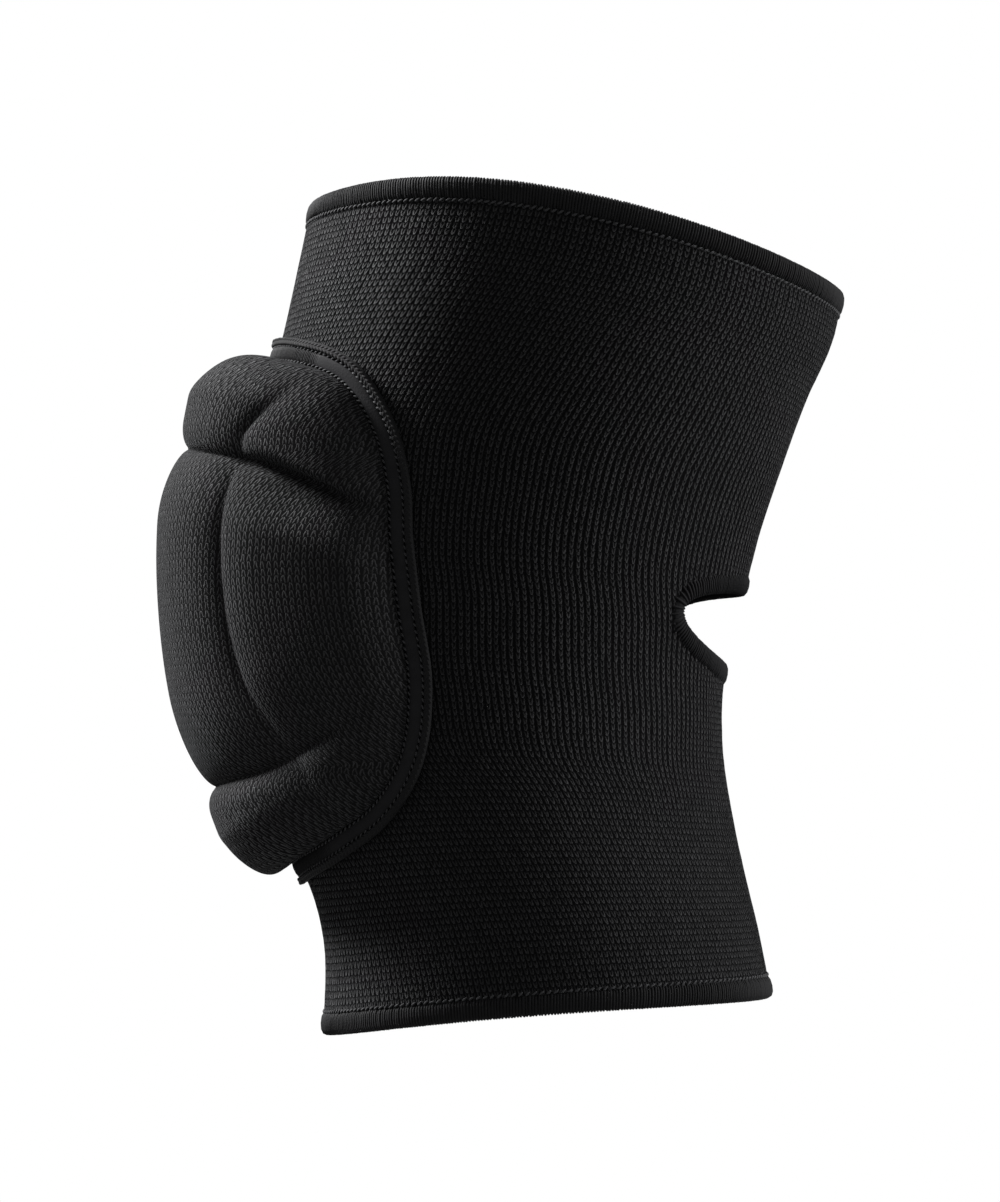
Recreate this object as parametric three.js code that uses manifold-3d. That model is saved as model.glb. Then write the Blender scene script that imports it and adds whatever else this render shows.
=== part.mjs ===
// A volleyball knee pad: a knitted sleeve shaped to a bent leg, with a lobed foam pad sewn on
// its front, a seam round the pad, and overlocked hems at the top, the bottom and the hole
// behind the knee. Millimetres, +Z up, the knee facing -Y, the leg's own left and right along X.
// The origin is the middle of the knee, inside the hollow of the sleeve.
import * as THREE from "three";
import { mergeVertices } from "three/addons/utils/BufferGeometryUtils.js";
import Module from "manifold-3d";

const wasm = await Module();
wasm.setup();

// The sleeve. Heights run from the bottom edge to the top edge, and the knee lies at belowKnee.
// The top edge arches by topArch at the sides, and archLean takes a share of that off again
// toward the back.
const sleeve = {
  frontHeight: 231.4,
  backHeight: 195.6,
  frontBelowKnee: 115.4,
  backBelowKnee: 104.9,
  frontReach: 72,
  backReach: 97.5,
  thighWidth: 138,
  topArch: 11,
  archLean: 0.45,
  wall: 2,
  squareness: 0.93,
};

// The overlocked hem that binds an edge of the sleeve.
const hem = { height: 5.6, thickness: 3.4, proud: 0.8 };

// The hole behind the knee, measured to the inner edge of its hem.
const hole = { width: 90, height: 20.3, tilt: 2.4, level: 0.521, hemWidth: 5.2 };

// The pad on the front. Its outline is measured to the outside of its seam.
const pad = {
  halfHeight: 75,
  halfWrap: THREE.MathUtils.degToRad(79.5),
  level: 0.511,
  thickness: 25,
  lip: 2.3,
  overhang: 7,
  overhangReach: 12,
};

// The seam round the pad: a flat overlocked band, and the rolled edge outside it.
const seam = { bandWidth: 3.9, bandThickness: 1.7, cordDiameter: 2.3 };

// The clearance between pieces that touch.
const gap = 0.3;

// How finely the faceted solids are cut.
const facets = {
  around: 48,
  outerRows: 20,
  innerRows: 14,
  padEdge: 60,
  padRings: 24,
  baseRings: 10,
  holeEdge: 36,
};

// The sleeve's sections, from the bottom edge (up 0) to the top edge (up 1). Front, back and
// width are shares of frontReach, backReach and thighWidth, and arch is a share of topArch.
const sections = [
  { up: 0.0, front: 0.685, back: 0.777, width: 0.845, arch: 0.24 },
  { up: 0.1, front: 0.68, back: 0.737, width: 0.868, arch: 0.28 },
  { up: 0.17, front: 0.73, back: 0.703, width: 0.868, arch: 0.31 },
  { up: 0.25, front: 0.85, back: 0.669, width: 0.857, arch: 0.35 },
  { up: 0.35, front: 0.95, back: 0.639, width: 0.845, arch: 0.39 },
  { up: 0.45, front: 0.995, back: 0.643, width: 0.85, arch: 0.42 },
  { up: 0.55, front: 1.0, back: 0.691, width: 0.865, arch: 0.47 },
  { up: 0.65, front: 0.972, back: 0.740, width: 0.888, arch: 0.54 },
  { up: 0.75, front: 0.917, back: 0.806, width: 0.916, arch: 0.64 },
  { up: 0.85, front: 0.838, back: 0.880, width: 0.948, arch: 0.76 },
  { up: 0.93, front: 0.782, back: 0.952, width: 0.975, arch: 0.86 },
  { up: 1.0, front: 0.735, back: 0.985, width: 1.0, arch: 1 },
];

// The pad's outline: how far it reaches from the pad's middle, against an oval of halfHeight
// and halfWrap. The turn runs from its top (0) round one side to its bottom (1).
const outline = [
  { turn: 0, reach: 1 },
  { turn: 0.04, reach: 1.002 },
  { turn: 0.11, reach: 1.027 },
  { turn: 0.2, reach: 1.069 },
  { turn: 0.28, reach: 1.042 },
  { turn: 0.36, reach: 0.99 },
  { turn: 0.43, reach: 0.95 },
  { turn: 0.51, reach: 0.967 },
  { turn: 0.6, reach: 1.05 },
  { turn: 0.67, reach: 1.112 },
  { turn: 0.72, reach: 1.135 },
  { turn: 0.77, reach: 1.128 },
  { turn: 0.83, reach: 1.083 },
  { turn: 0.91, reach: 1.032 },
  { turn: 0.97, reach: 1.018 },
  { turn: 1, reach: 1.016 },
];

// The foam's crown down the middle of the pad, as shares of its thickness. The level is a
// share of the pad's half height, from -1 at the bottom to 1 at the top.
const crowns = [
  { level: -1.0, upper: 0.7, middle: 0.8, lower: 0.66 },
  { level: -0.55, upper: 0.7, middle: 0.8, lower: 0.7 },
  { level: -0.2, upper: 0.8, middle: 0.885, lower: 0.7 },
  { level: 0.3, upper: 0.84, middle: 0.99, lower: 0.7 },
  { level: 0.62, upper: 0.86, middle: 0.99, lower: 0.7 },
  { level: 1.0, upper: 0.86, middle: 0.96, lower: 0.7 },
];

// The grooves between the columns of lobes: the share of halfWrap where they run, by level.
const columnGrooves = [
  { level: -1.0, wrap: 0.7 },
  { level: -0.68, wrap: 0.6 },
  { level: -0.46, wrap: 0.52 },
  { level: -0.25, wrap: 0.442 },
  { level: 0.15, wrap: 0.39 },
  { level: 0.57, wrap: 0.41 },
  { level: 0.7, wrap: 0.5 },
  { level: 0.83, wrap: 0.57 },
  { level: 1.0, wrap: 0.64 },
];

// The grooves between the rows of lobes: the level where they run, by share of halfWrap.
const rowGrooves = [
  { wrap: 0.0, upper: 0.56, lower: -0.61 },
  { wrap: 0.38, upper: 0.51, lower: -0.595 },
  { wrap: 0.52, upper: 0.475, lower: -0.57 },
  { wrap: 0.65, upper: 0.42, lower: -0.515 },
  { wrap: 0.79, upper: 0.345, lower: -0.44 },
  { wrap: 1.0, upper: 0.29, lower: -0.38 },
];

// How the foam thins from the middle of the pad to its sides: the lobes' crowns as shares of
// the crown in the middle, and the grooves' floors as shares of the pad's thickness.
const thinning = [
  { wrap: 0.0, crown: 1.0, upperFloor: 0.75, lowerFloor: 0.53 },
  { wrap: 0.3, crown: 0.93, upperFloor: 0.62, lowerFloor: 0.43 },
  { wrap: 0.4, crown: 0.87, upperFloor: 0.5, lowerFloor: 0.37 },
  { wrap: 0.6, crown: 0.64, upperFloor: 0.33, lowerFloor: 0.29 },
  { wrap: 0.8, crown: 0.42, upperFloor: 0.25, lowerFloor: 0.28 },
  { wrap: 0.92, crown: 0.3, upperFloor: 0.22, lowerFloor: 0.24 },
  { wrap: 1.2, crown: 0.2, upperFloor: 0.2, lowerFloor: 0.18 },
];

// How far each lobe's rounded shoulder reaches, in millimetres.
const shoulder = {
  centre: 18,
  side: 12,
  middleTop: 20,
  middleBottom: 24,
  upperRow: 7,
  upperRowSide: 2.5,
  lowerRow: 6,
};

// Each middle side lobe slopes down under the lobe above it, over this length. The slope sets in
// between these shares of the wrap.
const hollow = { length: 18, from: 0.4, to: 0.6 };

// The groove beside the middle lobes is cut to this share of the full depth.
const columnDepth = 0.58;

// The levels between which that groove fades out towards the pad's top.
const fadeOut = { from: 0.56, to: 0.88 };

// The levels between which the grooves' floor passes from the lower table to the upper.
const floorChange = { from: -0.65, to: 0.6 };

// How far the pad's outer edge is rounded, at its top, sides and bottom, in millimetres.
const edge = { top: 22, side: 11, bottom: 20 };

const { clamp, lerp } = THREE.MathUtils;
const turn = 2 * Math.PI;

// A smooth curve through one column of a table, read at a value of its key column.
function readTable(rows, key, column, at) {
  const last = rows.length - 1;
  const here = clamp(at, rows[0][key], rows[last][key]);
  let i = 0;
  while (i < last - 1 && rows[i + 1][key] <= here) i += 1;
  const slope = (j) => {
    const a = rows[Math.max(j - 1, 0)];
    const b = rows[Math.min(j + 1, last)];
    return (b[column] - a[column]) / (b[key] - a[key]);
  };
  const span = rows[i + 1][key] - rows[i][key];
  const t = (here - rows[i][key]) / span;
  const rise = rows[i + 1][column] - rows[i][column];
  const easeIn = slope(i) * span - rise;
  const easeOut = rise - slope(i + 1) * span;
  return rows[i][column] + rise * t + t * (1 - t) * (easeIn * (1 - t) + easeOut * t);
}

// A cosine or sine with its corners eased towards a square.
const squared = (x) => Math.sign(x) * Math.abs(x) ** sleeve.squareness;

// A point of the sleeve's outer surface. around is the angle from the front, up the share of
// the height, and out the distance outside the surface.
function onSurface(around, up) {
  const c = squared(Math.cos(around));
  const s = squared(Math.sin(around));
  const toBack = (1 - c) / 2;
  const front = -sleeve.frontReach * readTable(sections, "up", "front", up);
  const back = sleeve.backReach * readTable(sections, "up", "back", up);
  const halfWidth = (sleeve.thighWidth / 2) * readTable(sections, "up", "width", up);
  const arch = sleeve.topArch * readTable(sections, "up", "arch", up);
  const frontZ = up * sleeve.frontHeight - sleeve.frontBelowKnee;
  const backZ = up * sleeve.backHeight - sleeve.backBelowKnee;
  return new THREE.Vector3(
    halfWidth * s,
    lerp(front, back, toBack),
    lerp(frontZ, backZ, toBack) + arch * s * s * (1 - sleeve.archLean * toBack * toBack),
  );
}

// The surface's directions at a point: along around, along up, and its outward normal.
function directions(around, up) {
  const step = 1e-3;
  const low = Math.max(up - step, 0);
  const high = Math.min(up + step, 1);
  const byAround = onSurface(around + step, up)
    .sub(onSurface(around - step, up))
    .divideScalar(2 * step);
  const byUp = onSurface(around, high)
    .sub(onSurface(around, low))
    .divideScalar(high - low);
  const normal = byAround.clone().cross(byUp).normalize();
  return { byAround, byUp, normal };
}

function outside(around, up, out) {
  return onSurface(around, up).addScaledVector(directions(around, up).normal, out);
}

// Moves a point of the surface sideways along it, by a distance in a direction.
function slide(place, direction, distance) {
  const { byAround, byUp } = directions(place.around, place.up);
  const aa = byAround.dot(byAround);
  const uu = byUp.dot(byUp);
  const au = byAround.dot(byUp);
  const a = byAround.dot(direction) * distance;
  const u = byUp.dot(direction) * distance;
  const det = aa * uu - au * au;
  return {
    around: place.around + (a * uu - u * au) / det,
    up: place.up + (u * aa - a * au) / det,
  };
}

// Moves a closed line on the surface inwards, towards what it goes round.
function inset(line, distance) {
  return line.map((place, i) => {
    const before = line[(i + line.length - 1) % line.length];
    const after = line[(i + 1) % line.length];
    const along = onSurface(after.around, after.up)
      .sub(onSurface(before.around, before.up))
      .normalize();
    const { normal } = directions(place.around, place.up);
    return slide(place, normal.clone().cross(along), distance);
  });
}

// A closed body from rows of points. Each row is a closed ring, and the rows close on the
// first one, on caps, or on a point at each end.
function meshFromRings(rings, closes) {
  const positions = [];
  const faces = [];
  const size = rings[0].length;
  rings.forEach((ring) => ring.forEach((p) => positions.push(p.x, p.y, p.z)));
  const steps = closes === "loop" ? rings.length : rings.length - 1;
  for (let i = 0; i < steps; i += 1) {
    const next = (i + 1) % rings.length;
    for (let j = 0; j < size; j += 1) {
      const k = (j + 1) % size;
      const [a, b, c, d] = [i * size + j, i * size + k, next * size + k, next * size + j];
      faces.push(a, b, c, a, c, d);
    }
  }
  return solidFrom(positions, faces);
}

// A manifold-3d solid from positions and triangles, turned to face outwards.
function solidFrom(positions, faces) {
  const geometry = new THREE.BufferGeometry();
  geometry.setAttribute("position", new THREE.Float32BufferAttribute(positions, 3));
  geometry.setIndex(faces);
  const merged = mergeVertices(geometry, 1e-3);
  const vertProperties = new Float32Array(merged.attributes.position.array);
  const corners = [];
  for (let i = 0; i < merged.index.count; i += 3) {
    const [a, b, c] = [0, 1, 2].map((k) => merged.index.getX(i + k));
    if (a !== b && b !== c && c !== a) corners.push(a, b, c);
  }
  const make = (triVerts) => new wasm.Manifold(new wasm.Mesh({ numProp: 3, vertProperties, triVerts }));
  const made = make(new Uint32Array(corners));
  if (made.volume() > 0) return made;
  const turned = [];
  for (let i = 0; i < corners.length; i += 3) turned.push(corners[i], corners[i + 2], corners[i + 1]);
  return make(new Uint32Array(turned));
}

function geometryOf(solid) {
  const mesh = solid.getMesh();
  const positions = new Float32Array(mesh.numVert * 3);
  for (let i = 0; i < mesh.numVert; i += 1) {
    positions.set(mesh.vertProperties.subarray(i * mesh.numProp, i * mesh.numProp + 3), i * 3);
  }
  const geometry = new THREE.BufferGeometry();
  geometry.setAttribute("position", new THREE.BufferAttribute(positions, 3));
  geometry.setIndex(new THREE.BufferAttribute(new Uint32Array(mesh.triVerts), 1));
  geometry.computeVertexNormals();
  return geometry;
}

// How much closer together the rings of a body's top lie near its edge.
const edgeBias = 1.25;

// A body that lies on the surface inside a closed line: its underside at a height, its top at
// the height that over gives for each place, where reach is 0 in the middle and 1 at the line.
// spread tells how far a place on the top is pushed out past where its reach puts it.
function slabInside(line, centre, under, over, rings, spread = () => 0) {
  const between = (place, reach) => ({
    around: lerp(centre.around, place.around, reach),
    up: lerp(centre.up, place.up, reach),
  });
  const baseRing = (reach) =>
    line.map((place) => {
      const at = between(place, reach);
      return outside(at.around, at.up, under);
    });
  const topRing = (reach) =>
    line.map((place) => {
      const at = between(place, reach);
      const moved = between(place, reach + spread(at, reach));
      return outside(moved.around, moved.up, over(at, reach));
    });
  const base = [];
  for (let i = 0; i <= facets.baseRings; i += 1) base.push(baseRing(i / facets.baseRings));
  const top = [];
  for (let i = 0; i <= rings; i += 1) top.push(topRing(1 - (1 - i / rings) ** edgeBias));
  return meshFromRings([...base, ...top.reverse()], "point");
}

// A band along a closed line on the surface. Its section is a rounded rectangle: across runs
// inwards from the line, and out is the height above the surface.
function bandAlong(line, across, out) {
  const inwards = inset(line, 1).map((place, i) => ({
    around: place.around - line[i].around,
    up: place.up - line[i].up,
  }));
  const section = roundedSection(across[0], across[1], out[0], out[1]);
  return meshFromRings(
    line.map((place, i) =>
      section.map(([a, o]) =>
        outside(place.around + inwards[i].around * a, place.up + inwards[i].up * a, o),
      ),
    ),
    "loop",
  );
}

// The eight corners of a rectangle whose corners are cut, so that its short side is round.
function roundedSection(a0, a1, o0, o1) {
  const cut = 0.3 * Math.min(a1 - a0, o1 - o0);
  return [
    [a0 + cut, o0],
    [a1 - cut, o0],
    [a1, o0 + cut],
    [a1, o1 - cut],
    [a1 - cut, o1],
    [a0 + cut, o1],
    [a0, o1 - cut],
    [a0, o0 + cut],
  ];
}

// How much of the height a distance along the surface is, at an angle and height.
const shareOfHeight = (around, up, distance) => distance / directions(around, up).byUp.length();

// The hollow knitted tube, open at both ends, short of each edge by its hem.
function makeSleeveTube() {
  const trim = hem.height + gap;
  const ringAt = (share, out) => {
    const ring = [];
    for (let i = 0; i < facets.around; i += 1) {
      const around = (i / facets.around) * turn;
      const low = shareOfHeight(around, 0, trim);
      const high = 1 - shareOfHeight(around, 1, trim);
      ring.push(outside(around, lerp(low, high, share), out));
    }
    return ring;
  };
  const { outerRows, innerRows } = facets;
  const rings = [];
  for (let row = 0; row <= outerRows; row += 1) rings.push(ringAt(row / outerRows, 0));
  for (let row = innerRows; row >= 0; row -= 1) rings.push(ringAt(row / innerRows, -sleeve.wall));
  return meshFromRings(rings, "loop");
}

// The hem of one end of the sleeve. side is 0 for the bottom edge and 1 for the top edge.
function makeEndHem(side) {
  const section = roundedSection(0, hem.height, hem.proud - hem.thickness, hem.proud);
  const rings = [];
  for (let i = 0; i < facets.around; i += 1) {
    const around = (i / facets.around) * turn;
    const inwards = shareOfHeight(around, side, 1) * (side ? -1 : 1);
    rings.push(section.map(([a, o]) => outside(around, side + inwards * a, o)));
  }
  return meshFromRings(rings, "loop");
}

// The edge of the hole behind the knee, a wide oval whose ends droop.
function holeLine() {
  const centre = { around: Math.PI, up: hole.level };
  const { byUp } = directions(Math.PI, hole.level);
  const line = [];
  for (let i = 0; i < facets.holeEdge; i += 1) {
    const t = (i / facets.holeEdge) * turn;
    const across = (hole.width / 2) * Math.cos(t);
    const rise = (hole.height / 2) * Math.sin(t) + hole.tilt * Math.cos(t) ** 2;
    const place = slideRound(centre, across);
    line.push({ around: place.around, up: centre.up + rise / byUp.length() });
  }
  return line;
}

// Moves along the surface at one height, by an arc length, from the back.
function slideRound(place, arc) {
  const steps = 24;
  let around = place.around;
  for (let i = 0; i < steps; i += 1) {
    around += arc / steps / directions(around, place.up).byAround.length();
  }
  return { around, up: place.up };
}

// A place on the outside of the pad's seam, from the top (share 0) round to the top again.
function padPlace(share) {
  const away = 1 - Math.abs(1 - 2 * share);
  const reach = readTable(outline, "turn", "reach", away);
  return {
    around: -pad.halfWrap * reach * Math.sin(share * turn),
    up: pad.level + (pad.halfHeight * reach * Math.cos(share * turn)) / sleeve.frontHeight,
  };
}

// Points on a closed line, evenly spaced along its length.
function spaced(placeAt, count) {
  const fine = 40 * count;
  const places = Array.from({ length: fine + 1 }, (_, i) => placeAt(i / fine));
  const lengths = [0];
  for (let i = 1; i <= fine; i += 1) {
    const from = onSurface(places[i - 1].around, places[i - 1].up);
    const to = onSurface(places[i].around, places[i].up);
    lengths.push(lengths[i - 1] + from.distanceTo(to));
  }
  return Array.from({ length: count }, (_, k) => {
    const wanted = (k / count) * lengths[fine];
    return places[lengths.findIndex((length) => length >= wanted)];
  });
}

// A rounded rise from 0 to 1 over a reach.
function roundRise(distance, reach) {
  const short = 1 - clamp(distance / reach, 0, 1);
  return (1 - short * short) ** 0.6;
}

// Where a place lies on the pad: its wrap, 0 in the middle and 1 at halfWrap, and its level,
// from -1 at the bottom to 1 at the top.
function onPad({ around, up }) {
  return {
    wrap: Math.min(Math.abs(around) / pad.halfWrap, 1.2),
    level: ((up - pad.level) * sleeve.frontHeight) / pad.halfHeight,
  };
}

// The pad's height above the sleeve: the grooves' floor, the lobes' rounded crowns above it,
// and the rounded fall to the pad's edge.
function padHeight(place, reach) {
  const { wrap, level } = onPad(place);
  const upperGroove = readTable(rowGrooves, "wrap", "upper", wrap);
  const lowerGroove = readTable(rowGrooves, "wrap", "lower", wrap);
  const columnGroove = readTable(columnGrooves, "level", "wrap", level);
  const arc = directions(place.around, place.up).byAround.length() * pad.halfWrap;
  const row = level > upperGroove ? "upper" : level < lowerGroove ? "lower" : "middle";
  const middle = row === "middle";
  const fromUpper = Math.abs(level - upperGroove) * pad.halfHeight;
  const fromLower = Math.abs(level - lowerGroove) * pad.halfHeight;
  const faded = THREE.MathUtils.smoothstep(level, fadeOut.from, fadeOut.to);
  const acrossGroove =
    roundRise(Math.abs(wrap - columnGroove) * arc, wrap < columnGroove ? shoulder.centre : shoulder.side);
  const inSide = clamp((wrap - hollow.from) / (hollow.to - hollow.from), 0, 1);
  const slope = THREE.MathUtils.smoothstep(fromUpper, 0, hollow.length);
  const besideUpper = middle
    ? lerp(roundRise(fromUpper, shoulder.middleTop), slope, inSide)
    : roundRise(fromUpper, lerp(shoulder.upperRow, shoulder.upperRowSide, inSide));
  const rounding =
    (1 - (1 - acrossGroove) * (1 - faded) * columnDepth) *
    besideUpper *
    roundRise(fromLower, middle ? shoulder.middleBottom : shoulder.lowerRow);
  const crown = readTable(crowns, "level", row, level) * readTable(thinning, "wrap", "crown", wrap);
  const upperFloor = readTable(thinning, "wrap", "upperFloor", wrap);
  const lowerFloor = readTable(thinning, "wrap", "lowerFloor", wrap);
  const upwards = (level - floorChange.from) / (floorChange.to - floorChange.from);
  const floor = lerp(lowerFloor, upperFloor, clamp(upwards, 0, 1));
  const low = Math.min(floor, crown);
  const rim = lerp(edge.side, level > 0 ? edge.top : edge.bottom, Math.min(level ** 4, 1));
  const full = pad.thickness * (low + (crown - low) * rounding);
  return gap + pad.lip + (full - pad.lip) * roundRise((1 - reach) * pad.halfHeight, rim);
}

// How far the foam hangs out over its seam at the top and bottom, as a share of its reach.
function padSpread(place, reach) {
  const { level } = onPad(place);
  const inwards = clamp(((1 - reach) * pad.halfHeight) / pad.overhangReach, 0, 1);
  const hump = 6.75 * inwards * (1 - inwards) ** 2;
  return (pad.overhang / pad.halfHeight) * hump * Math.min(level ** 8, 1);
}

// The pieces
const padEdge = spaced(padPlace, facets.padEdge);
const padCentre = { around: 0, up: pad.level };
const holeEdge = holeLine();
const holeCentre = { around: Math.PI, up: hole.level + hole.tilt / 2 / sleeve.backHeight };

const cordWidth = seam.cordDiameter;
const bandStart = cordWidth + gap;
const padStart = bandStart + seam.bandWidth + gap;
const cutPast = 2.5;

const holeCut = slabInside(
  inset(holeEdge, -(hole.hemWidth + gap)),
  holeCentre,
  -sleeve.wall - cutPast,
  () => cutPast,
  facets.baseRings,
);

const solids = {
  sleeve: makeSleeveTube().subtract(holeCut),
  top_hem: makeEndHem(1),
  bottom_hem: makeEndHem(0),
  back_hole_hem: bandAlong(holeEdge, [-hole.hemWidth, 0], [hem.proud - hem.thickness, hem.proud]),
  knee_pad: slabInside(
    inset(padEdge, padStart),
    padCentre,
    gap,
    padHeight,
    facets.padRings,
    padSpread,
  ),
  pad_seam_band: bandAlong(padEdge, [bandStart, bandStart + seam.bandWidth], [gap, gap + seam.bandThickness]),
  pad_seam_cord: bandAlong(padEdge, [0, cordWidth], [gap, gap + cordWidth]),
};

const finishes = {
  sleeve: { color: 0x17171a, roughness: 0.9 },
  top_hem: { color: 0x1c1c1f, roughness: 0.7 },
  bottom_hem: { color: 0x1c1c1f, roughness: 0.7 },
  back_hole_hem: { color: 0x1c1c1f, roughness: 0.7 },
  knee_pad: { color: 0x1a1a1d, roughness: 0.9 },
  pad_seam_band: { color: 0x1c1c1f, roughness: 0.7 },
  pad_seam_cord: { color: 0x1c1c1f, roughness: 0.7 },
};

const kneePad = new THREE.Group();
for (const [name, solid] of Object.entries(solids)) {
  const material = new THREE.MeshStandardMaterial({ ...finishes[name], metalness: 0 });
  const mesh = new THREE.Mesh(geometryOf(solid), material);
  mesh.name = name;
  kneePad.add(mesh);
}

export default kneePad;
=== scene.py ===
# %% [markdown]
# # A knitted knee pad with a foam front
# The object is a black sports sleeve, knitted as a tube and worn on a bent knee, with a lobed
# foam pad sewn to its front. Its plain solids come in as a fixed frame. Each cell below dresses
# one piece of it: the ribbed knit, the foam under its cover, and the thread that binds every edge.

import bpy
import numpy as np
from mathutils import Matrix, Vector


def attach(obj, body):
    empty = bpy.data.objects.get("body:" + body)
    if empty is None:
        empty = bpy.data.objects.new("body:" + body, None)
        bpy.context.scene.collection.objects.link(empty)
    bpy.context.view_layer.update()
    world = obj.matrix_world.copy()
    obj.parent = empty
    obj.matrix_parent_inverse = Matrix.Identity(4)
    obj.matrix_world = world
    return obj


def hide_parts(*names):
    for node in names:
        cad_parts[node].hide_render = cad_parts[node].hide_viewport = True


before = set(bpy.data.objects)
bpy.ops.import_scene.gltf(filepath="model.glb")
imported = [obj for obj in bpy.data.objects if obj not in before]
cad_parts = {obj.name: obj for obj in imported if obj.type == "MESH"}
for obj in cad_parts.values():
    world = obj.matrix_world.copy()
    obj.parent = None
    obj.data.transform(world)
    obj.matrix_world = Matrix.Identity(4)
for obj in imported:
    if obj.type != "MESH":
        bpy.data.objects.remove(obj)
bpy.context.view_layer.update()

# %% [markdown]
# ## The leg's shape
# Everything here lies on one surface, the outside of the sleeve. It could be sculpted, but a
# surface with a formula gives every thread and stitch an exact place to sit. Ovals are stacked
# from the calf to the thigh. A place on the surface is two numbers: `around`, the angle from the
# front of the knee, and `up`, the share of the height. The sizes are the solids' own, in metres,
# and the tables hold shares of them.

# %% Sizes of the sleeve
MM = 0.001
TURN = 2 * np.pi

FRONT_HEIGHT, BACK_HEIGHT = 231.4 * MM, 195.6 * MM
FRONT_BELOW_KNEE, BACK_BELOW_KNEE = 115.4 * MM, 104.9 * MM
FRONT_REACH, BACK_REACH = 72 * MM, 97.5 * MM
THIGH_WIDTH = 138 * MM
TOP_ARCH = 11 * MM
ARCH_LEAN = 0.45
WALL = 2 * MM
SQUARENESS = 0.93
GAP = 0.3 * MM

SECTIONS = {
    "up": [0, 0.1, 0.17, 0.25, 0.35, 0.45, 0.55, 0.65, 0.75, 0.85, 0.93, 1],
    "front": [0.685, 0.68, 0.73, 0.85, 0.95, 0.995, 1, 0.972, 0.917, 0.838, 0.782, 0.735],
    "back": [0.777, 0.737, 0.703, 0.669, 0.639, 0.643, 0.691, 0.74, 0.806, 0.88, 0.952, 0.985],
    "width": [0.845, 0.868, 0.868, 0.857, 0.845, 0.85, 0.865, 0.888, 0.916, 0.948, 0.975, 1],
    "arch": [0.24, 0.28, 0.31, 0.35, 0.39, 0.42, 0.47, 0.54, 0.64, 0.76, 0.86, 1],
}

# %% Reading a table as a smooth curve
def curve(table, key, column, at):
    """A smooth line through one column of a table, read at values of its key column."""
    keys, values = np.array(table[key], float), np.array(table[column], float)
    last = len(keys) - 1
    before, after = np.maximum(np.arange(last + 1) - 1, 0), np.minimum(np.arange(last + 1) + 1, last)
    slopes = (values[after] - values[before]) / (keys[after] - keys[before])
    at = np.clip(at, keys[0], keys[last])
    i = np.clip(np.searchsorted(keys, at, side="right") - 1, 0, last - 1)
    span, rise = keys[i + 1] - keys[i], values[i + 1] - values[i]
    t = (at - keys[i]) / span
    ease_in, ease_out = slopes[i] * span - rise, rise - slopes[i + 1] * span
    return values[i] + rise * t + t * (1 - t) * (ease_in * (1 - t) + ease_out * t)


def blend(low, high, share):
    return low + (high - low) * share


# %% The surface, its directions and its outside
def on_surface(around, up):
    """Points of the sleeve's outer surface."""
    c, s = np.cos(around), np.sin(around)
    c, s = np.sign(c) * np.abs(c) ** SQUARENESS, np.sign(s) * np.abs(s) ** SQUARENESS
    to_back = (1 - c) / 2
    front = -FRONT_REACH * curve(SECTIONS, "up", "front", up)
    back = BACK_REACH * curve(SECTIONS, "up", "back", up)
    half_width = THIGH_WIDTH / 2 * curve(SECTIONS, "up", "width", up)
    arch = TOP_ARCH * curve(SECTIONS, "up", "arch", up) * (1 - ARCH_LEAN * to_back**2)
    front_z = up * FRONT_HEIGHT - FRONT_BELOW_KNEE
    back_z = up * BACK_HEIGHT - BACK_BELOW_KNEE
    return np.stack(
        [half_width * s, blend(front, back, to_back), blend(front_z, back_z, to_back) + arch * s * s],
        axis=-1,
    )


def length(vectors):
    return np.linalg.norm(vectors, axis=-1)


def unit(vectors):
    return vectors / length(vectors)[..., None]


def directions(around, up):
    """How a point moves with around and with up, and the way out of the surface."""
    step = 1e-3
    low, high = np.maximum(up - step, 0), np.minimum(up + step, 1)
    by_around = (on_surface(around + step, up) - on_surface(around - step, up)) / (2 * step)
    by_up = (on_surface(around, high) - on_surface(around, low)) / (high - low)[..., None]
    return by_around, by_up, unit(np.cross(by_around, by_up))


def outside(around, up, out):
    """Points that stand off the surface by a distance."""
    around, up, out = np.broadcast_arrays(*map(np.asarray, (around, up, out)))
    return on_surface(around, up) + directions(around, up)[2] * out[..., None]


print("knee is", round(float(on_surface(np.array(np.pi), np.array(0.5))[1] * 1000)), "mm deep behind")

# %% [markdown]
# ## Lines that run over the surface
# Hems and seams follow a closed line on the surface. Each line is a list of evenly spaced
# places, and beside every place goes the step that leads one metre away from the edge, into
# the cloth that the seam binds. With the two, a thread can be laid at any distance from the
# edge and at any height above it. One recipe then binds the thigh, the calf, the hole and the
# pad.

# %% A line with its inward direction
def evenly(around, up, count):
    """Places of a closed line, spaced evenly along it."""
    around, up = np.append(around, around[0]), np.append(up, up[0])
    if abs(around[-1] - around[-2]) > np.pi:
        around[-1] += TURN
    steps = length(np.diff(on_surface(around, up), axis=0))
    run = np.append(0, np.cumsum(steps))
    wanted = np.linspace(0, run[-1], count, endpoint=False)
    return np.interp(wanted, run, around), np.interp(wanted, run, up), run[-1]


def slide(around, up, direction):
    """The change of place for each metre moved in a direction along the surface."""
    by_around, by_up, _ = directions(around, up)
    aa, uu, au = (np.sum(p * q, axis=-1) for p, q in
                  ((by_around, by_around), (by_up, by_up), (by_around, by_up)))
    a, u = np.sum(by_around * direction, axis=-1), np.sum(by_up * direction, axis=-1)
    det = aa * uu - au * au
    return (a * uu - u * au) / det, (u * aa - a * au) / det


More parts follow.
